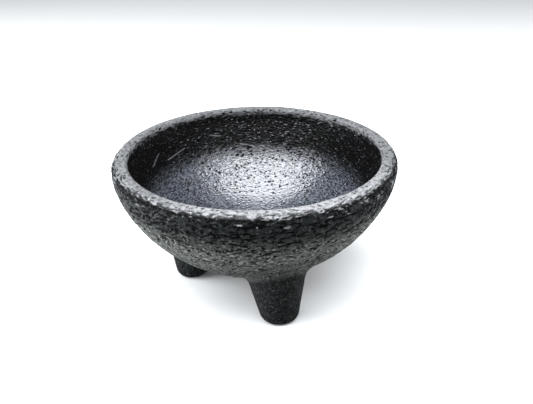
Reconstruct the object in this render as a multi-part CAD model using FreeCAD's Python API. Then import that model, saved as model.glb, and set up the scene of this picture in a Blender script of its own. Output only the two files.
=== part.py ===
"""A three-legged stone mortar bowl (molcajete), in millimetres.

The bowl is a turned shell of even, thick wall on three short splayed legs. The real thing
is carved from one block of basalt, so nothing is screwed, pinned or glued. The bowl and
each leg are separate solids here. They meet face to face at the neck of each leg, on a
seat that follows the underside of the bowl a little below its skin, so the fillet between
leg and bowl stays whole on the bowl's side of the seat.

Frame: origin on the resting plane under the bowl's axis, +Z up, one leg towards -Y.
"""

import os

import FreeCAD
import Part
from math import cos, pi, sin

# ---- driving dimensions -------------------------------------------------------------
OVERALL_HEIGHT = 108.0  # resting plane to the top of the rim
OUTER_RADIUS = 100.0  # at the widest point, just under the rim
BOWL_CLEARANCE = 21.0  # resting plane to the lowest point of the bowl
UNDERSIDE_RADIUS = 104.5  # large arc under the bowl, centred on its axis

LIP_RADIUS = 5.3  # outer edge of the rim
MOUTH_RADIUS = 88.9  # inside of the wall, just under the rim
MOUTH_EDGE_RADIUS = 2.2  # inner edge of the rim

FLOOR_THICKNESS = 17.0  # stone under the middle of the grinding floor
FLOOR_RADIUS = 94.0  # large arc of the grinding floor, centred on the axis

LEG_NAMES = ("leg_front", "leg_rear_right", "leg_rear_left")  # anticlockwise from above
FOOT_OFFSET = 53.3  # bowl axis to the middle of a foot, on the resting plane
FOOT_HALF_WIDTH = 13.3  # across the leg
FOOT_HALF_DEPTH = 11.7  # along the leg's radial direction
FOOT_EDGE_RADIUS = 5.0

NECK_HEIGHT = 33.0  # height at which the leg has the neck sizes below
NECK_OFFSET = 40.9
NECK_HALF_WIDTH = 20.7
NECK_HALF_DEPTH = 29.5
NECK_FILLET_RADIUS = 7.0
LEG_CONE_TOP = 62.0  # the straight cone of the leg ends here, inside the stone
SEAT_DROP = 4.5  # from the skin of the bowl down to the seat between bowl and leg

# ---- derived dimensions -------------------------------------------------------------
WIDEST_HEIGHT = OVERALL_HEIGHT - LIP_RADIUS
MOUTH_HEIGHT = OVERALL_HEIGHT - MOUTH_EDGE_RADIUS
FLOOR_HEIGHT = BOWL_CLEARANCE + FLOOR_THICKNESS
ABOVE_RIM = OVERALL_HEIGHT + SEAT_DROP  # cutting solids end clear of the rim
LEG_STEP_DEG = 360 / len(LEG_NAMES)

ORIGIN = FreeCAD.Vector(0, 0, 0)
UP = FreeCAD.Vector(0, 0, 1)


def point(radius, height):
    """A point of a half section. It lies towards +Y, so the seam of a turned shape runs
    between the two rear legs."""
    return FreeCAD.Vector(0, radius, height)


def lines(*corners):
    """Straight edges from each (radius, height) corner to the next."""
    ends = [point(*corner) for corner in corners]
    return [Part.LineSegment(a, b).toShape() for a, b in zip(ends, ends[1:])]


def arc(centre, radius, start, end):
    """Arc in the half section. Angles run from straight down, 0, to outwards, pi / 2."""

    def at(angle):
        return centre + point(radius * sin(angle), -radius * cos(angle))

    return Part.Arc(at(start), at((start + end) / 2), at(end)).toShape()


def cup_edges(radius, top, bottom, large):
    """Half section of a cup: an arc of radius large, centred on the axis, and a smaller
    arc tangent to it that reaches the cup's radius at its top with a vertical tangent."""
    depth = top - bottom
    small = (radius**2 + depth**2 - 2 * large * depth) / (2 * (radius - large))
    large_centre = point(0, bottom + large)
    small_centre = point(radius - small, top)
    meet = (small_centre - large_centre).getAngle(-UP)
    return [
        arc(large_centre, large, 0, meet),
        arc(small_centre, small, meet, pi / 2),
    ]


def turned(edges):
    """Solid of revolution about the bowl's axis of a closed half section."""
    section = Part.Face(Part.Wire(Part.__sortEdges__(edges)))
    return section.revolve(ORIGIN, UP, 360)


def full_cup():
    """The outer shape of the bowl, not hollowed yet, with the rounded outer lip."""
    lip_centre = point(OUTER_RADIUS - LIP_RADIUS, WIDEST_HEIGHT)
    edges = cup_edges(OUTER_RADIUS, WIDEST_HEIGHT, BOWL_CLEARANCE, UNDERSIDE_RADIUS)
    edges.append(arc(lip_centre, LIP_RADIUS, pi / 2, pi))
    edges += lines(
        (OUTER_RADIUS - LIP_RADIUS, OVERALL_HEIGHT),
        (0, OVERALL_HEIGHT),
        (0, BOWL_CLEARANCE),
    )
    return turned(edges)


def hollow():
    """The grinding hollow, which leaves the inner edge of the rim rounded."""
    edge_centre = point(MOUTH_RADIUS + MOUTH_EDGE_RADIUS, MOUTH_HEIGHT)
    edges = cup_edges(MOUTH_RADIUS, MOUTH_HEIGHT, FLOOR_HEIGHT, FLOOR_RADIUS)
    edges.append(arc(edge_centre, MOUTH_EDGE_RADIUS, pi, 3 * pi / 2))
    edges += lines(
        (MOUTH_RADIUS + MOUTH_EDGE_RADIUS, OVERALL_HEIGHT),
        (MOUTH_RADIUS + MOUTH_EDGE_RADIUS, ABOVE_RIM),
        (0, ABOVE_RIM),
        (0, FLOOR_HEIGHT),
    )
    return turned(edges)


def seat_body():
    """Everything above the seats: the outer shape of the bowl grown by SEAT_DROP, and
    carried straight up past the rim."""
    radius = OUTER_RADIUS + SEAT_DROP
    bottom = BOWL_CLEARANCE - SEAT_DROP
    edges = cup_edges(radius, WIDEST_HEIGHT, bottom, UNDERSIDE_RADIUS + SEAT_DROP)
    edges += lines(
        (radius, WIDEST_HEIGHT), (radius, ABOVE_RIM), (0, ABOVE_RIM), (0, bottom)
    )
    return turned(edges)


def leg_section(height):
    """Ellipse across the leg that stands towards -Y. Its sizes run in straight lines from
    the foot to the neck, and on above it."""

    def between(foot, neck):
        return foot + (neck - foot) * height / NECK_HEIGHT

    half_width = between(FOOT_HALF_WIDTH, NECK_HALF_WIDTH)
    half_depth = between(FOOT_HALF_DEPTH, NECK_HALF_DEPTH)
    offset = between(FOOT_OFFSET, NECK_OFFSET)
    stretch = FreeCAD.Matrix()
    stretch.scale(half_width, half_depth, 1)
    stretch.move(FreeCAD.Vector(0, -offset, height))
    unit_circle = Part.Circle(ORIGIN, UP, 1).toShape()
    return Part.Wire(unit_circle.transformGeometry(stretch))


def leg_cone():
    """The leg towards -Y, from its flat rounded foot up into the stone of the bowl."""
    cone = Part.makeLoft([leg_section(0), leg_section(LEG_CONE_TOP)], True, True)
    foot_edges = [e for e in cone.Edges if e.BoundBox.ZMax < FOOT_EDGE_RADIUS]
    return cone.makeFillet(FOOT_EDGE_RADIUS, foot_edges)


def carved_block():
    """The full cup and its legs as one stone, with a fillet round the neck of each leg.
    The necks are the only edges that begin between the cup's lowest point and the top
    of the cones."""
    cone = leg_cone()
    turns = range(len(LEG_NAMES))
    cones = [cone.rotated(ORIGIN, UP, LEG_STEP_DEG * turn) for turn in turns]
    block = full_cup().multiFuse(cones)
    necks = [
        e for e in block.Edges if BOWL_CLEARANCE + 1 < e.BoundBox.ZMin < LEG_CONE_TOP
    ]
    return block.makeFillet(NECK_FILLET_RADIUS, necks)


def leg_direction(turn):
    """Unit vector from the axis towards a leg."""
    angle = -pi / 2 + turn * 2 * pi / len(LEG_NAMES)
    return FreeCAD.Vector(cos(angle), sin(angle), 0)


def make_parts():
    """Name and solid of every part."""
    block = carved_block()
    seat = seat_body()
    parts = {"bowl": block.common(seat).cut(hollow()).Solids[0]}
    legs = block.cut(seat).Solids
    for turn, name in enumerate(LEG_NAMES):
        towards = leg_direction(turn)
        parts[name] = max(legs, key=lambda leg: leg.CenterOfMass.dot(towards))
    return parts


def main():
    os.makedirs("parts", exist_ok=True)
    for name, shape in make_parts().items():
        shape.exportStep(f"parts/{name}.step")


main()
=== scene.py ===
"""Looks of a molcajete: a low bowl of dark basalt on three short legs, from one block.

The stone is made as one closed skin with its pits, tool marks and worn rim. The skin is
then parted at the necks into the bowl and its legs, so the stone runs on unbroken there.
All sizes are in metres.
"""

from math import cos, pi, radians, sin

import bmesh
import bpy
import numpy as np
from mathutils import Matrix, Vector
from mathutils.kdtree import KDTree


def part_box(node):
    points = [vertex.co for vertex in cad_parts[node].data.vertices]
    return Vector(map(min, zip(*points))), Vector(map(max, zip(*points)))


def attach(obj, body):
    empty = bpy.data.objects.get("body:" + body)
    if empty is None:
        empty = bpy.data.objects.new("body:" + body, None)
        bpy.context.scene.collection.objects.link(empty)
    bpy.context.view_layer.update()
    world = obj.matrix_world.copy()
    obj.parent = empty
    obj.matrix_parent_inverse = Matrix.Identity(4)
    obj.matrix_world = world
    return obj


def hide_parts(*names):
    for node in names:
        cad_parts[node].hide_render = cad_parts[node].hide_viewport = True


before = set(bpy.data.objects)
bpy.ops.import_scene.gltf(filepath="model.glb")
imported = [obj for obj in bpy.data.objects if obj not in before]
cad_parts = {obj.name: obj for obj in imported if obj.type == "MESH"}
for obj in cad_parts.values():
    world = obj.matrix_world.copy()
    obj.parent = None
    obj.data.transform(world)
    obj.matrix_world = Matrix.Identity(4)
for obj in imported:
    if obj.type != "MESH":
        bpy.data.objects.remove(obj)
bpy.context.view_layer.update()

# ---- the stone ----------------------------------------------------------------------
BOWL_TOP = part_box("bowl")[1]
OUTER_RADIUS = BOWL_TOP.x  # at the widest point, just under the rim
OVERALL_HEIGHT = BOWL_TOP.z
BOWL_CLEARANCE = 0.021  # resting plane to the lowest point of the bowl
UNDERSIDE_RADIUS = 0.1045  # large arc under the bowl, centred on its axis
LIP_RADIUS = 0.0053  # outer edge of the rim
MOUTH_RADIUS = 0.0889  # inside of the wall, just under the rim
MOUTH_EDGE_RADIUS = 0.0022  # inner edge of the rim
FLOOR_THICKNESS = 0.017
FLOOR_RADIUS = 0.094  # large arc of the grinding floor, centred on the axis

LEG_NAMES = ("leg_front", "leg_rear_right", "leg_rear_left")  # anticlockwise from above
FOOT_OFFSET = 0.0533
FOOT_HALF_WIDTH = 0.0133
FOOT_HALF_DEPTH = 0.0117
FOOT_EDGE_RADIUS = 0.005
NECK_HEIGHT = 0.033
NECK_OFFSET = 0.0409
NECK_HALF_WIDTH = 0.0207
NECK_HALF_DEPTH = 0.0295
NECK_BLEND = 0.006  # how far the surfaces of leg and bowl flow into each other
SEAT_GAP = 0.0015  # from the bowl's skin to the flat cut that parts a leg from it

WIDEST_HEIGHT = OVERALL_HEIGHT - LIP_RADIUS
MOUTH_HEIGHT = OVERALL_HEIGHT - MOUTH_EDGE_RADIUS
FLOOR_HEIGHT = BOWL_CLEARANCE + FLOOR_THICKNESS
UNDERSIDE_CENTRE = Vector((0, 0, BOWL_CLEARANCE + UNDERSIDE_RADIUS))
FLOOR_CENTRE_HEIGHT = FLOOR_HEIGHT + FLOOR_RADIUS
LEG_TURNS = [2 * pi * turn / len(LEG_NAMES) for turn in range(len(LEG_NAMES))]

# ---- the skin -----------------------------------------------------------------------
COARSE_STEP = 0.0024
DIVISIONS = 2
BASE_SEGMENTS = 160
BASE_RINGS = 24
LEG_SEGMENTS = 64
ROOT_DEPTH = 0.006  # how far the rough leg reaches into the bowl
ROOT_ROUNDS = 6
GRADIENT_STEP = 1e-6
SETTLING_ROUNDS = 4
LEAST_STEEPNESS = 0.05  # keeps a settling step short where the distance hardly changes
TINY = 1e-9  # added where a division could meet zero

# ---- its marks ----------------------------------------------------------------------
SEED = 11  # each noise adds a number of its own
NOISE_VALUES = 1 << 16
HASH_PRIMES = (73856093, 19349663, 83492791)  # scatter the noise's values in space
STRETCH = 3.2  # how much longer marks are round the bowl than up and down it
# Heights along the skin are angles about this point, which lies above the rim.
STRETCH_CENTRE_HEIGHT = 1.05 * UNDERSIDE_CENTRE.z
DENT_LEAN = 0.16  # radians away from level, as a spread
DENT_RAGGEDNESS = 0.22
DENT_REACH_MARGIN = 0.2  # a ragged dent spreads a little beyond its oval
RAGGED_SIZE = 0.0009
SCRATCH_HALF_WIDTH = 0.00032
SCRATCH_REACH = 0.004  # keeps a scratch off the skin far from its straight line
# The two ends of each, as degrees round from the front leg and a height.
SCRATCHES = (
    ((-139, 0.0836), (-153, 0.0862)),
    ((-126, 0.0855), (-134, 0.0900)),
    ((172, 0.0818), (164, 0.0796)),
    ((-171, 0.0907), (-177, 0.0889)),
)

# ---- colours ------------------------------------------------------------------------
OIL_AND_SHADE = (0.006, 0.007, 0.007, 1)  # upper part of the outside, painted dark as shade, partly also oil from handling
DUST_AND_FLOOR_LIGHT = (0.049, 0.051, 0.047, 1)  # lower part of the outside, paler: painted light bounced up from the floor, partly also dusting
GLINT_FLECK = (0.125, 0.130, 0.123, 1)  # pale flecks, mostly in the paler lower part: painted glints standing in for light caught on the bumps
# The legs are painted darker than the bowl: painted shade under the bowl.
LEG_SHADE_DARK = (0.002, 0.002, 0.002, 1)
LEG_SHADE_PALE = (0.006, 0.007, 0.007, 1)
LEG_FLECK = (0.016, 0.018, 0.016, 1)
WALL_DARK = (0.002, 0.002, 0.002, 1)  # steep upper part of the hollow
# Pale flecks on the dark wall are painted glints.
WALL_GLINT_FLECK = (0.036, 0.036, 0.040, 1)
GROUND_DARK = (0.009, 0.010, 0.013, 1)  # floor of the hollow, polished by grinding; its pale bluish tone is partly stone and partly painted reflection of dim bluish light round the highlight
GROUND_PALE = (0.054, 0.059, 0.072, 1)
# Near black for pits, pores and pinholes: painted shade in the hollows.
PIT_SHADE = (0.002, 0.002, 0.002, 1)
RIM_DARK = (0.080, 0.081, 0.084, 1)  # stone rubbed pale by wear
RIM_PALE = (0.175, 0.176, 0.180, 1)
SCRATCH_COLOUR = (0.055, 0.055, 0.058, 1)

# ---- the view -----------------------------------------------------------------------
VIEW_AZIMUTH = radians(-16.6)  # 0 looks along +Y
VIEW_ELEVATION = radians(22.57)
VIEW_DISTANCE = 0.44435  # to the middle of the mouth
VIEW_PITCH = radians(-27.32)
VIEW_YAW = radians(1.09)  # to the right of the bowl's axis
VIEW_ROLL = radians(-0.91)
LENS_MM = 42.27
SENSOR_MM = 36.0

# ---- the set ------------------------------------------------------------------------
LIGHT_COLOUR = (0.94, 0.97, 1.0)
WORLD_LIGHT = 0.15  # strength of the white world as a light
FLOOR_SIZE = 3
FLOOR_COLOUR = (0.56, 0.56, 0.56)
MATT = 0.9
CARD_SIZE = 0.9
CARD_PLACE = (0.15, -0.32, 0.0)  # to the viewer's right, forward and up


# ---- shape of the stone ---------------------------------------------------------------
def cup_side(r, z, radius, top, bottom, large):
    """Distance outwards from the side of a cup of revolution, negative inside it. An arc
    of radius large, centred on the axis, runs tangent into a smaller arc that ends with
    a vertical tangent at the cup's top. Above it the side goes straight up."""
    depth = top - bottom
    small = (radius**2 + depth**2 - 2 * large * depth) / (2 * (radius - large))
    small_r = radius - small
    large_z = bottom + large
    past_meeting = r * (large_z - top) > small_r * (large_z - z)
    on_large = np.hypot(r, z - large_z) - large
    on_small = np.hypot(r - small_r, z - top) - small
    side = np.where(past_meeting, on_small, on_large)
    return np.where(z > top, r - radius, side)


def rounded_max(a, b, radius):
    """Distance to what two solids share, with the edge between them rounded."""
    corner = np.hypot(np.maximum(a + radius, 0), np.maximum(b + radius, 0))
    return corner + np.minimum(np.maximum(a, b), -radius)


def smooth_min(a, b, blend):
    """Distance to two solids together, with a fillet between them."""
    near = np.maximum(blend - np.abs(a - b), 0) / blend
    return np.minimum(a, b) - near**2 * blend / 4


def leg_sizes(height):
    """Half width and half depth of a leg at a height, and its distance from the axis."""
    share = height / NECK_HEIGHT
    half_width = FOOT_HALF_WIDTH + (NECK_HALF_WIDTH - FOOT_HALF_WIDTH) * share
    half_depth = FOOT_HALF_DEPTH + (NECK_HALF_DEPTH - FOOT_HALF_DEPTH) * share
    return half_width, half_depth, FOOT_OFFSET + (NECK_OFFSET - FOOT_OFFSET) * share


def leg_distance(points, turn):
    """Distance to one leg, a tapered cone of elliptical section with a rounded foot."""
    x = points[:, 0] * cos(turn) + points[:, 1] * sin(turn)
    y = points[:, 1] * cos(turn) - points[:, 0] * sin(turn)
    z = points[:, 2]
    half_width, half_depth, offset = leg_sizes(np.maximum(z, 0))
    u = x / half_width
    v = (y + offset) / half_depth
    q = np.hypot(u, v) + TINY
    slope = np.hypot(u / half_width, v / half_depth) / q
    return rounded_max((q - 1) / (slope + TINY), -z, FOOT_EDGE_RADIUS)


def stone_distance(points):
    """Distance to the smooth stone, negative inside it."""
    r = np.hypot(points[:, 0], points[:, 1])
    z = points[:, 2]
    outside = cup_side(r, z, OUTER_RADIUS, WIDEST_HEIGHT, BOWL_CLEARANCE, UNDERSIDE_RADIUS)
    body = rounded_max(outside, z - OVERALL_HEIGHT, LIP_RADIUS)
    for turn in LEG_TURNS:
        body = smooth_min(body, leg_distance(points, turn), NECK_BLEND)
    hollow = cup_side(r, z, MOUTH_RADIUS, MOUTH_HEIGHT, FLOOR_HEIGHT, FLOOR_RADIUS)
    return rounded_max(body, -hollow, MOUTH_EDGE_RADIUS)


def distance_and_slope(points):
    """Distance to the smooth stone and its gradient at every point."""
    here = stone_distance(points)
    slope = np.empty_like(points)
    for axis in range(3):
        shifted = points.copy()
        shifted[:, axis] += GRADIENT_STEP
        slope[:, axis] = (stone_distance(shifted) - here) / GRADIENT_STEP
    return here, slope


# ---- the skin as a mesh ---------------------------------------------------------------
def lathe(bm, outline):
    """Adds the closed surface that a half section from axis to axis sweeps out."""
    rings = []
    for r, z in outline:
        if r == 0:
            rings.append([bm.verts.new((0, 0, z))])
            continue
        angles = [2 * pi * step / BASE_SEGMENTS for step in range(BASE_SEGMENTS)]
        rings.append([bm.verts.new((r * cos(a), r * sin(a), z)) for a in angles])
    for low, high in zip(rings, rings[1:]):
        for step in range(BASE_SEGMENTS):
            after = (step + 1) % BASE_SEGMENTS
            corners = [low[step % len(low)], low[after % len(low)]]
            corners += [high[after % len(high)], high[step % len(high)]]
            bm.faces.new(dict.fromkeys(corners))


def rough_bowl(bm):
    """A plain bowl near the final one, as a start for the skin."""
    climb = [pi / 2 * ring / BASE_RINGS for ring in range(BASE_RINGS + 1)]
    outline = []
    for angles, radius, bottom in (
        (climb, OUTER_RADIUS, BOWL_CLEARANCE),
        (climb[::-1], MOUTH_RADIUS, FLOOR_HEIGHT),
    ):
        depth = OVERALL_HEIGHT - bottom
        outline += [(radius * sin(a), OVERALL_HEIGHT - depth * cos(a)) for a in angles]
    lathe(bm, outline)


def rough_leg(bm, turn):
    """A leg with straight sides from its foot into the stone, as a start for the skin."""
    stand = Matrix.Rotation(turn, 4, "Z")

    def corner(angle, height):
        half_width, half_depth, offset = leg_sizes(height)
        return Vector((half_width * cos(angle), half_depth * sin(angle) - offset, height))

    foot = []
    root = []
    for step in range(LEG_SEGMENTS):
        angle = 2 * pi * step / LEG_SEGMENTS
        top = corner(angle, NECK_HEIGHT)
        for _ in range(ROOT_ROUNDS):
            sunk = (UNDERSIDE_RADIUS**2 - top.x**2 - top.y**2) ** 0.5
            top = corner(angle, UNDERSIDE_CENTRE.z - sunk + ROOT_DEPTH)
        foot.append(bm.verts.new(stand @ corner(angle, 0)))
        root.append(bm.verts.new(stand @ top))
    for step in range(LEG_SEGMENTS):
        after = (step + 1) % LEG_SEGMENTS
        bm.faces.new((foot[step], foot[after], root[after], root[step]))
    bm.faces.new(foot[::-1])
    bm.faces.new(root)


def smooth_skin():
    """The closed skin of the smooth stone in small even quads: its points, the outward
    normal at each, and the four corners of every face."""
    bm = bmesh.new()
    rough_bowl(bm)
    for turn in LEG_TURNS:
        rough_leg(bm, turn)
    mesh = bpy.data.meshes.new("rough_stone")
    bm.to_mesh(mesh)
    bm.free()
    rough = bpy.data.objects.new("rough_stone", mesh)
    bpy.context.scene.collection.objects.link(rough)
    even = rough.modifiers.new("even", "REMESH")
    even.mode = "VOXEL"
    even.voxel_size = COARSE_STEP
    finer = rough.modifiers.new("finer", "SUBSURF")
    finer.levels = DIVISIONS
    done = rough.evaluated_get(bpy.context.evaluated_depsgraph_get())
    skin = bpy.data.meshes.new_from_object(done)
    bpy.data.objects.remove(rough)

    points = np.empty(len(skin.vertices) * 3, np.float32)
    skin.vertices.foreach_get("co", points)
    points = points.reshape(-1, 3).astype(float)
    faces = np.empty(len(skin.loops), np.int32)
    skin.loops.foreach_get("vertex_index", faces)
    faces = faces.reshape(-1, 4)
    for _ in range(SETTLING_ROUNDS):
        away, slope = distance_and_slope(points)
        steepness = np.sum(slope**2, axis=1)
        move = away / np.maximum(steepness, LEAST_STEEPNESS)
        points -= slope * np.clip(move, -COARSE_STEP, COARSE_STEP)[:, None]
    slope = distance_and_slope(points)[1]
    return points, slope / np.linalg.norm(slope, axis=1)[:, None], faces


# ---- marks on the skin ------------------------------------------------------------------
def smoothstep(low, high, x):
    """Share from 0 at low to 1 at high, easing in and out. High may be the smaller."""
    share = np.clip((x - low) / (high - low), 0, 1)
    return share * share * (3 - 2 * share)


def lattice_noise(places, seed):
    """Smooth noise from -1 to 1 that varies over about one unit of the places given."""
    values = np.random.default_rng(seed).uniform(-1, 1, NOISE_VALUES)
    cell = np.floor(places).astype(np.int64)
    part = smoothstep(0, 1, places - cell)
    total = np.zeros(len(places))
    for corner in np.ndindex(2, 2, 2):
        key = np.bitwise_xor.reduce((cell + corner) * HASH_PRIMES, axis=1)
        weight = np.where(corner, part, 1 - part).prod(axis=1)
        total += weight * values[key % NOISE_VALUES]
    return total


def layered_noise(places, seed, layers=3):
    """Noise with finer, weaker layers added, scaled to stay mostly within -1 and 1."""
    total = np.zeros(len(places))
    for layer in range(layers):
        total += lattice_noise(places * 2**layer, seed + layer) / 2**layer
    return total / 1.5


class Skin:
    """Where each point of the skin lies on the stone. The shares run from 0 to 1."""

    def __init__(self, points, normals):
        self.points = points
        self.normals = normals
        self.rng = np.random.default_rng(SEED)
        self.tree = KDTree(len(points))
        for index, point in enumerate(points):
            self.tree.insert(point, index)
        self.tree.balance()

        self.r = np.hypot(points[:, 0], points[:, 1])
        self.z = points[:, 2]
        self.below_rim = OVERALL_HEIGHT - self.z
        climb = UNDERSIDE_RADIUS * np.arctan2(self.r, STRETCH_CENTRE_HEIGHT - self.z)
        self.stretched = np.column_stack([points[:, 0], points[:, 1], STRETCH * climb])
        self.ragged = layered_noise(points / RAGGED_SIZE, SEED)

        outwards = np.sum(points[:, :2] * normals[:, :2], axis=1) / (self.r + TINY)
        hollow = cup_side(
            self.r, self.z, MOUTH_RADIUS, MOUTH_HEIGHT, FLOOR_HEIGHT, FLOOR_RADIUS
        )
        side = cup_side(
            self.r, self.z, OUTER_RADIUS, WIDEST_HEIGHT, BOWL_CLEARANCE, UNDERSIDE_RADIUS
        )
        legs = np.min([leg_distance(points, turn) for turn in LEG_TURNS], axis=0)
        upright = smoothstep(0.5, 0.85, normals[:, 2])
        # The hollow, the upper face of the rim, the legs, and the rest of the outside.
        self.inside = smoothstep(0.002, 0.0005, np.abs(hollow)) * (outwards < 0.5)
        self.top = upright * (self.z > WIDEST_HEIGHT)
        self.leg = smoothstep(0.0005, 0.004, side) * (legs < 0.002)
        self.outside = (1 - self.inside) * (1 - self.top) * (1 - self.leg)
        # The hollow's floor, the middle of that floor, and the wall round it.
        self.ground = self.inside * smoothstep(0.081, 0.068, self.r)
        self.middle = self.inside * smoothstep(0.066, 0.040, self.r)
        self.wall = self.inside * (1 - self.ground)

    def mixed(self, outside, leg, ground, wall, top=0):
        """One value for each part of the stone, mixed at each point by its shares."""
        mix = outside * self.outside + leg * self.leg + ground * self.ground
        return mix + wall * self.wall + top * self.top

    def dents(self, weight, count, length, width, depth):
        """Depth at each point of about count dents. They are likelier where weight, from
        0 to 1, is high. Each is a rough oval, length round the bowl and width across."""
        rng = self.rng
        tries = rng.choice(len(self.points), int(count / np.mean(weight)))
        centres = tries[rng.uniform(size=len(tries)) < weight[tries]]
        total = np.zeros(len(self.points))
        for centre in centres:
            half_length = rng.uniform(*length) / 2
            half_width = min(rng.uniform(*width) / 2, half_length)
            deep = rng.uniform(*depth)
            lean = rng.normal(0, DENT_LEAN)
            normal = self.normals[centre]
            level = np.cross((0, 0, 1), normal)
            level /= np.linalg.norm(level) + TINY
            climb = np.cross(normal, level)
            along = level * cos(lean) + climb * sin(lean)
            across = climb * cos(lean) - level * sin(lean)
            reach = (1 + DENT_REACH_MARGIN) * half_length
            near = [index for _, index, _ in self.tree.find_range(self.points[centre], reach)]
            offset = self.points[near] - self.points[centre]
            oval = np.hypot(offset @ along / half_length, offset @ across / half_width)
            oval += DENT_RAGGEDNESS * self.ragged[near]
            shape = np.clip(2.5 - 2.5 * oval**2, 0, 1)  # steep sides and a flat bottom
            total[near] = np.maximum(total[near], deep * shape)
        return total

    def scratches(self):
        """Share at each point of the thin straight scratches on the inner wall."""
        total = np.zeros(len(self.points))
        for ends in SCRATCHES:
            line = []
            for degrees, height in ends:
                r = (FLOOR_RADIUS**2 - (FLOOR_CENTRE_HEIGHT - height) ** 2) ** 0.5
                turn = radians(degrees)
                line.append(np.array((r * sin(turn), -r * cos(turn), height)))
            run = line[1] - line[0]
            share = np.clip((self.points - line[0]) @ run / (run @ run), 0, 1)
            sideways = self.points - line[0] - share[:, None] * run
            near = np.linalg.norm(sideways, axis=1) < SCRATCH_REACH
            sideways -= np.sum(sideways * self.normals, axis=1)[:, None] * self.normals
            away = np.linalg.norm(sideways, axis=1) / SCRATCH_HALF_WIDTH
            thin = smoothstep(2.2, 0.4, away) * near
            total = np.maximum(total, thin * self.inside)
        return total


def relief(skin):
    """Height of the relief at each point, and the share of each point that is pitted."""
    lip = smoothstep(0.0080, 0.0015, skin.below_rim) * (1 - skin.inside)
    lip *= smoothstep(OUTER_RADIUS - 0.0050, OUTER_RADIUS - 0.0035, skin.r)
    band = skin.outside * smoothstep(0.034, 0.012, skin.below_rim)
    upper = skin.outside * (0.4 + 0.6 * smoothstep(0.075, 0.030, skin.below_rim))
    # Where each kind of dent lies, how many there are, and their length, width and depth.
    dents = (
        (upper, 5000, (0.0012, 0.0034), (0.0009, 0.0015), (0.0006, 0.0011)),
        (band, 560, (0.0040, 0.0110), (0.0010, 0.0017), (0.0006, 0.0011)),
        (lip, 620, (0.0020, 0.0070), (0.0009, 0.0014), (0.0005, 0.0009)),
        (skin.leg, 420, (0.0009, 0.0017), (0.0008, 0.0013), (0.0004, 0.0008)),
        (skin.top, 480, (0.0009, 0.0020), (0.0008, 0.0012), (0.0004, 0.0007)),
        (skin.ground, 900, (0.0009, 0.0015), (0.0008, 0.0012), (0.0004, 0.0007)),
        (skin.wall, 1100, (0.0014, 0.0040), (0.0008, 0.0014), (0.0003, 0.0006)),
    )
    deep = np.max([skin.dents(*kind) for kind in dents], axis=0)
    pit = smoothstep(0.0, 0.0003, deep) * (1 - 0.2 * skin.top)

    sway = layered_noise(skin.points / 0.045, SEED + 20, 2) * 0.00030
    drag = skin.mixed(outside=0.00026, leg=0.00010, ground=0.00008, wall=0.00016)
    drag *= layered_noise(skin.stretched / 0.0042, SEED + 30)
    grain = skin.mixed(outside=0.00016, leg=0.00008, ground=0.00005, wall=0.00009, top=0.00014)
    grain *= layered_noise(skin.points / 0.0017, SEED + 40, 2)
    return sway + drag + grain - deep, pit


def wear_and_painted_light(skin, pit):
    """Shares at each point of the stone rubbed pale, with a painted sheen on the rim's front
    side, and of the outside's paler lower part, partly dusting and partly painted floor light.
    """
    streaks = layered_noise(skin.stretched / 0.0035, SEED + 50)
    outer = smoothstep(0.56, 0.84, skin.normals[:, 2] + 0.30 * streaks)
    outer *= skin.z > WIDEST_HEIGHT - 0.001
    # Long chips along the outer edge, which grow rarer from 5 mm below the rim on.
    chips = layered_noise(skin.stretched * (0.5, 0.5, 1) / 0.0028, SEED + 60, 1)
    chips -= 45 * np.maximum(skin.below_rim - 0.005, 0)
    outer = np.maximum(outer, smoothstep(0.30, 0.40, chips) * (skin.below_rim < 0.010))
    inner = smoothstep(0.0050, 0.0015, skin.below_rim + 0.0032 * streaks)
    rim_wear_and_sheen = np.where(skin.r < MOUTH_RADIUS + 0.003, inner, outer) * (1 - pit)
    # The rim is painted paler on the front leg's side, towards the camera: a painted sheen on
    # top of the wear.
    front_sheen = smoothstep(0.4, 0.97, -skin.points[:, 1] / (skin.r + TINY))
    # The outside's paler lower part is partly dusting and partly painted light bounced from
    # the floor.
    dust_and_floor_light = smoothstep(0.010, 0.040, skin.below_rim + 0.004 * streaks)
    dust_and_floor_light *= 1 - 0.55 * smoothstep(0.030, 0.055, skin.below_rim)
    return rim_wear_and_sheen * (0.55 + 0.45 * front_sheen), dust_and_floor_light


def mark(points, normals):
    """The skin's points with all relief, and the facts that the material reads there."""
    skin = Skin(points, normals)
    height, pit = relief(skin)
    rim_wear_and_sheen, dust_and_floor_light = wear_and_painted_light(skin, pit)
    facts = {
        "rim_wear_and_sheen": rim_wear_and_sheen,
        "inside": skin.inside,
        "ground": skin.ground,
        "middle": skin.middle,
        "leg": skin.leg,
        "pit": pit,
        "dust_and_floor_light": dust_and_floor_light,
        "scratch": skin.scratches(),
        "stretched": skin.stretched,
    }
    return points + normals * height[:, None], facts


# ---- parting the skin ---------------------------------------------------------------------
class Seat:
    """The flat cut through one leg's neck."""

    def __init__(self, turn):
        self.outwards = Vector((sin(turn), -cos(turn), 0))
        neck = self.outwards * NECK_OFFSET + Vector((0, 0, NECK_HEIGHT))
        self.normal = (neck - UNDERSIDE_CENTRE).normalized()
        self.place = UNDERSIDE_CENTRE + self.normal * (UNDERSIDE_RADIUS + SEAT_GAP)

    def beyond(self, points):
        """Whether each point belongs to this leg."""
        level = np.hypot(points[:, 0], points[:, 1])
        in_sector = points @ self.outwards > cos(pi / len(LEG_NAMES)) * level
        return in_sector & ((points - self.place) @ self.normal > 0)


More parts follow.
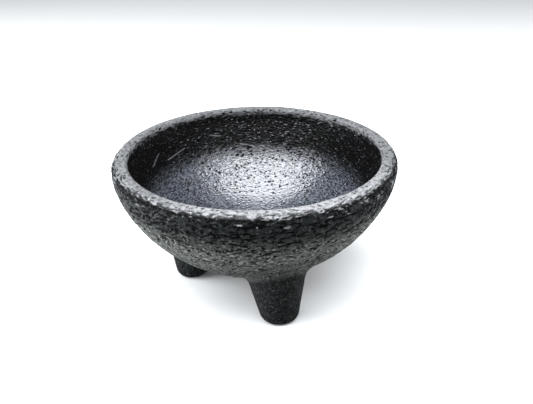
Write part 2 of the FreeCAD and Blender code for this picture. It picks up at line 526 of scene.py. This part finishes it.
def piece_mesh(name, points, faces, facts):
    """Mesh of some faces of the skin, with the facts for the material at its points."""
    used, corners = np.unique(faces, return_inverse=True)
    mesh = bpy.data.meshes.new(name)
    mesh.from_pydata(points[used], [], corners.reshape(faces.shape))
    mesh.polygons.foreach_set("use_smooth", np.ones(len(faces), bool))
    for fact, values in facts.items():
        kind, slot = ("FLOAT_VECTOR", "vector") if values.ndim == 2 else ("FLOAT", "value")
        layer = mesh.attributes.new(fact, kind, "POINT")
        layer.data.foreach_set(slot, values[used].astype(np.float32).ravel())
    return mesh


def cut_flat(mesh, cuts, keep_beyond):
    """Cuts the faces of each (seat, faces) off flat at the seat, and closes the hole."""
    bm = bmesh.new()
    bm.from_mesh(mesh)
    bm.faces.ensure_lookup_table()
    crossed = [(seat, [bm.faces[index] for index in indices]) for seat, indices in cuts]
    for seat, near in crossed:
        edges = {edge for face in near for edge in face.edges}
        corners = {corner for face in near for corner in face.verts}
        bmesh.ops.bisect_plane(
            bm,
            geom=[*near, *edges, *corners],
            plane_co=seat.place,
            plane_no=seat.normal,
            clear_inner=keep_beyond,
            clear_outer=not keep_beyond,
        )
    cut = [edge for edge in bm.edges if edge.is_boundary]
    caps = bmesh.ops.holes_fill(bm, edges=cut)["faces"]
    for sharp in cut + caps:
        sharp.smooth = False
    bm.to_mesh(mesh)
    bm.free()


def parted(points, faces, facts):
    """The skin as a mesh for each CAD node, every leg cut off through its neck."""
    seats = [Seat(turn) for turn in LEG_TURNS]
    beyond = [seat.beyond(points)[faces] for seat in seats]
    in_bowl = ~np.any([corners.all(axis=1) for corners in beyond], axis=0)
    bowl_faces = faces[in_bowl]
    cuts = []
    meshes = {}
    for name, seat, corners in zip(LEG_NAMES, seats, beyond):
        cuts.append((seat, np.flatnonzero(corners.any(axis=1)[in_bowl])))
        leg_faces = faces[corners.any(axis=1)]
        meshes[name] = piece_mesh(name + "_stone", points, leg_faces, facts)
        cut_flat(meshes[name], [(seat, range(len(leg_faces)))], True)
    meshes["bowl"] = piece_mesh("bowl_stone", points, bowl_faces, facts)
    cut_flat(meshes["bowl"], cuts, False)
    return meshes


# ---- the stone's material -----------------------------------------------------------------
class Nodes:
    """Short ways to add and join shader nodes."""

    def __init__(self, material):
        self.tree = material.node_tree
        self.shader = self.tree.nodes["Principled BSDF"]

    def put(self, value, socket):
        if isinstance(value, bpy.types.NodeSocket):
            self.tree.links.new(value, socket)
        else:
            socket.default_value = value

    def attribute(self, name, output="Fac"):
        node = self.tree.nodes.new("ShaderNodeAttribute")
        node.attribute_name = name
        return node.outputs[output]

    def noise(self, vector, size, detail=2.0, roughness=0.5):
        node = self.tree.nodes.new("ShaderNodeTexNoise")
        self.put(vector, node.inputs["Vector"])
        node.inputs["Scale"].default_value = 1 / size
        node.inputs["Detail"].default_value = detail
        node.inputs["Roughness"].default_value = roughness
        return node.outputs["Fac"]

    def cells(self, vector, size):
        node = self.tree.nodes.new("ShaderNodeTexVoronoi")
        self.put(vector, node.inputs["Vector"])
        node.inputs["Scale"].default_value = 1 / size
        return node.outputs["Distance"]

    def math(self, kind, a, b=0.0):
        node = self.tree.nodes.new("ShaderNodeMath")
        node.operation = kind
        self.put(a, node.inputs[0])
        self.put(b, node.inputs[1])
        return node.outputs[0]

    def ramp(self, value, low, high, out_low=0.0, out_high=1.0):
        node = self.tree.nodes.new("ShaderNodeMapRange")
        node.interpolation_type = "SMOOTHSTEP"
        self.put(value, node.inputs["Value"])
        for name, number in (
            ("From Min", low), ("From Max", high), ("To Min", out_low), ("To Max", out_high)
        ):
            node.inputs[name].default_value = number
        return node.outputs["Result"]

    def blend(self, share, a, b, kind="RGBA"):
        node = self.tree.nodes.new("ShaderNodeMix")
        node.data_type = kind
        sockets = [socket for socket in node.inputs if socket.enabled]
        for value, socket in zip((share, a, b), sockets):
            self.put(value, socket)
        return [socket for socket in node.outputs if socket.enabled][0]


def basalt_material():
    material = bpy.data.materials.new("basalt")
    material.use_nodes = True
    n = Nodes(material)
    position = n.tree.nodes.new("ShaderNodeTexCoord").outputs["Object"]
    stretched = n.attribute("stretched", "Vector")
    names = ("rim_wear_and_sheen", "inside", "ground", "middle", "leg", "pit", "dust_and_floor_light", "scratch")
    rim_wear_and_sheen, inside, ground, middle, leg, pit, dust_and_floor_light, scratch = map(n.attribute, names)

    # Patterns. Grit, pores and mottle run long round the bowl.
    cloud = n.noise(position, 0.018, 3)
    grit = n.noise(stretched, 0.0032, 1)
    speck = n.noise(position, 0.0021, 1)
    fleck = n.ramp(n.noise(position, 0.0018, 1), 0.59, 0.66)
    pore = n.ramp(n.cells(stretched, 0.0030), 0.14, 0.21, 1, 0)
    poke = n.ramp(n.cells(position, 0.0036), 0.13, 0.17, 1, 0)  # pinholes in the floor, painted dark without relief: painted shade
    mottle = n.noise(stretched, 0.0028, 3, 0.7)

    # Dark upper outside and paler lower outside: painted shade and painted floor light, partly
    # also oil and dusting.
    dust_and_floor_light_mix = n.math("MULTIPLY", dust_and_floor_light, n.ramp(cloud, 0.25, 0.6, 0.75, 1))
    dust_and_floor_light_mix = n.math("MULTIPLY", dust_and_floor_light_mix, n.ramp(speck, 0.3, 0.6, 0.7, 1))
    outer = n.blend(dust_and_floor_light_mix, OIL_AND_SHADE, DUST_AND_FLOOR_LIGHT)
    # Pale flecks, mostly in the paler lower part: painted glints.
    outer = n.blend(n.math("MULTIPLY", fleck, n.ramp(dust_and_floor_light, 0, 1, 0.12, 1)), outer, GLINT_FLECK)
    # Pores are painted near black: painted shade in the hollows.
    outer = n.blend(pore, outer, PIT_SHADE)
    # The legs' darker colours are painted shade under the bowl.
    legs = n.blend(fleck, n.blend(n.ramp(speck, 0.35, 0.65), LEG_SHADE_DARK, LEG_SHADE_PALE), LEG_FLECK)
    colour = n.blend(leg, outer, legs)
    # Sparse pale flecks on the dark wall: painted glints.
    wall = n.blend(n.ramp(grit, 0.63, 0.73), WALL_DARK, WALL_GLINT_FLECK)
    colour = n.blend(inside, colour, wall)
    # The floor's pale bluish tone is partly painted reflection of dim bluish light.
    floor_colour = n.blend(n.ramp(grit, 0.38, 0.62), GROUND_DARK, GROUND_PALE)
    # Pinholes and pits are painted near black: painted shade in the hollows.
    colour = n.blend(ground, colour, n.blend(poke, floor_colour, PIT_SHADE))
    colour = n.blend(pit, colour, PIT_SHADE)
    # Pale rim stone where worn, paler still on the front side: wear and a painted sheen.
    colour = n.blend(rim_wear_and_sheen, colour, n.blend(n.ramp(mottle, 0.36, 0.60), RIM_DARK, RIM_PALE))
    colour = n.blend(scratch, colour, SCRATCH_COLOUR)
    n.put(colour, n.shader.inputs["Base Color"])

    rough = n.ramp(cloud, 0.3, 0.7, 0.36, 0.48)
    rough_floor = n.ramp(cloud, 0.3, 0.7, 0.22, 0.32)
    parts = ((leg, 0.7), (inside, 0.13), (ground, rough_floor), (pit, 0.8), (rim_wear_and_sheen, 0.5))
    for part, value in parts:
        rough = n.blend(part, rough, value, "FLOAT")
    n.put(rough, n.shader.inputs["Roughness"])
    n.shader.inputs["Specular IOR Level"].default_value = 0.02

    # Fine relief as bump, in metres. The middle of the floor is rubbed the smoothest.
    height = n.math("ADD", n.math("MULTIPLY", grit, 0.0008), n.math("MULTIPLY", speck, 0.0005))
    bump = n.tree.nodes.new("ShaderNodeBump")
    bump.inputs["Distance"].default_value = 1.0
    strength = n.blend(leg, 1.0, 0.6, "FLOAT")
    floor_strength = n.blend(middle, 0.8, 0.24, "FLOAT")
    n.put(n.blend(ground, strength, floor_strength, "FLOAT"), bump.inputs["Strength"])
    n.put(height, bump.inputs["Height"])
    n.put(bump.outputs[0], n.shader.inputs["Normal"])
    n.put(bump.outputs[0], n.shader.inputs["Coat Normal"])

    # A gloss on the floor, and in streaks on the wall, but not down in the pits.
    glint = n.math("MULTIPLY", inside, n.ramp(grit, 0.60, 0.72, 0.02, 0.5))
    gloss = n.math("MAXIMUM", ground, glint)
    gloss = n.math("MULTIPLY", gloss, n.ramp(pit, 0, 0.6, 1, 0))
    gloss = n.math("MULTIPLY", gloss, n.ramp(poke, 0, 1, 1, 0.1))
    n.put(gloss, n.shader.inputs["Coat Weight"])
    n.shader.inputs["Coat Roughness"].default_value = 0.14
    n.shader.inputs["Coat IOR"].default_value = 1.7
    return material


# ---- camera, light and floor ------------------------------------------------------------
def make_camera():
    away = VIEW_DISTANCE * cos(VIEW_ELEVATION)
    camera = bpy.data.objects.new("camera", bpy.data.cameras.new("camera"))
    bpy.context.scene.collection.objects.link(camera)
    camera.location = (
        away * sin(VIEW_AZIMUTH),
        -away * cos(VIEW_AZIMUTH),
        OVERALL_HEIGHT + VIEW_DISTANCE * sin(VIEW_ELEVATION),
    )
    turn = Matrix.Rotation(VIEW_AZIMUTH - VIEW_YAW, 3, "Z")
    tilt = Matrix.Rotation(pi / 2 + VIEW_PITCH, 3, "X")
    roll = Matrix.Rotation(VIEW_ROLL, 3, "Z")
    camera.rotation_euler = (turn @ tilt @ roll).to_euler()
    camera.data.lens = LENS_MM
    camera.data.sensor_width = SENSOR_MM
    bpy.context.scene.camera = camera


def viewer_place(right, forward, up):
    """A point given by how far it is to the viewer's right, forward and up from the bowl."""
    c, s = cos(VIEW_AZIMUTH), sin(VIEW_AZIMUTH)
    return Vector((right * c - forward * s, right * s + forward * c, up))


def area_light(name, shape, size, place, aim, power):
    """A soft light of some width and depth. Its aim is how far it is tilted up from facing
    the ground, and then turned anticlockwise from facing away from the viewer."""
    data = bpy.data.lights.new(name, "AREA")
    data.shape = shape
    data.size, data.size_y = size
    data.energy = power
    data.color = LIGHT_COLOUR
    light = bpy.data.objects.new(name, data)
    bpy.context.scene.collection.objects.link(light)
    light.location = viewer_place(*place)
    tilt, turn = aim
    light.rotation_euler = (tilt, 0, VIEW_AZIMUTH + turn)


def flat_stage(name, size, colour):
    """A flat matt square of the set, lying on the ground."""
    bm = bmesh.new()
    bmesh.ops.create_grid(bm, size=size / 2)
    mesh = bpy.data.meshes.new(name)
    bm.to_mesh(mesh)
    bm.free()
    material = bpy.data.materials.new(name)
    material.use_nodes = True
    shader = material.node_tree.nodes["Principled BSDF"]
    shader.inputs["Base Color"].default_value = (*colour, 1)
    shader.inputs["Roughness"].default_value = MATT
    mesh.materials.append(material)
    stage = bpy.data.objects.new(name, mesh)
    bpy.context.scene.collection.objects.link(stage)
    return stage


def set_up_studio():
    # Name, shape, width and depth, place, aim, watts.
    area_light("overhead", "ELLIPSE", (2.3, 1.1), (-0.32, -0.35, 1.05), (0, 0), 78)
    area_light("canopy", "RECTANGLE", (3.4, 1.5), (0.1, -0.2, 1.2), (0, 0), 17)
    area_light("back", "RECTANGLE", (4.4, 1.1), (0, 1.6, 0.56), (pi / 2, pi), 8)
    area_light("left", "RECTANGLE", (1.1, 0.22), (-1.3, 0.0, 0.12), (pi / 2, -pi / 2), 85)
    area_light("right", "RECTANGLE", (1.1, 0.22), (1.3, 0.1, 0.12), (pi / 2, pi / 2), 34)
    flat_stage("floor", FLOOR_SIZE, FLOOR_COLOUR)

    # An upright black card that is seen only in the gloss, where it darkens the near side.
    card = flat_stage("card", CARD_SIZE, (0, 0, 0))
    card.rotation_euler = (pi / 2, 0, VIEW_AZIMUTH)
    card.location = viewer_place(*CARD_PLACE)
    card.visible_camera = False
    card.visible_diffuse = False
    card.visible_shadow = False

    # The world looks plain white, but lights the stone only weakly.
    world = bpy.data.worlds.new("studio")
    bpy.context.scene.world = world
    world.use_nodes = True
    nodes = world.node_tree.nodes
    seen = nodes.new("ShaderNodeLightPath").outputs["Is Camera Ray"]
    shade = nodes.new("ShaderNodeMapRange")
    shade.inputs["To Min"].default_value = WORLD_LIGHT
    shade.inputs["To Max"].default_value = 1.0
    world.node_tree.links.new(seen, shade.inputs["Value"])
    world.node_tree.links.new(shade.outputs["Result"], nodes["Background"].inputs["Strength"])
    nodes["Background"].inputs["Color"].default_value = (1, 1, 1, 1)
    bpy.context.scene.view_settings.view_transform = "Standard"


make_camera()
set_up_studio()

points, normals, faces = smooth_skin()
marked, facts = mark(points, normals)
basalt = basalt_material()
for name, mesh in parted(marked, faces, facts).items():
    mesh.materials.append(basalt)
    piece = bpy.data.objects.new(mesh.name, mesh)
    bpy.context.scene.collection.objects.link(piece)
    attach(piece, "root")
    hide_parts(name)
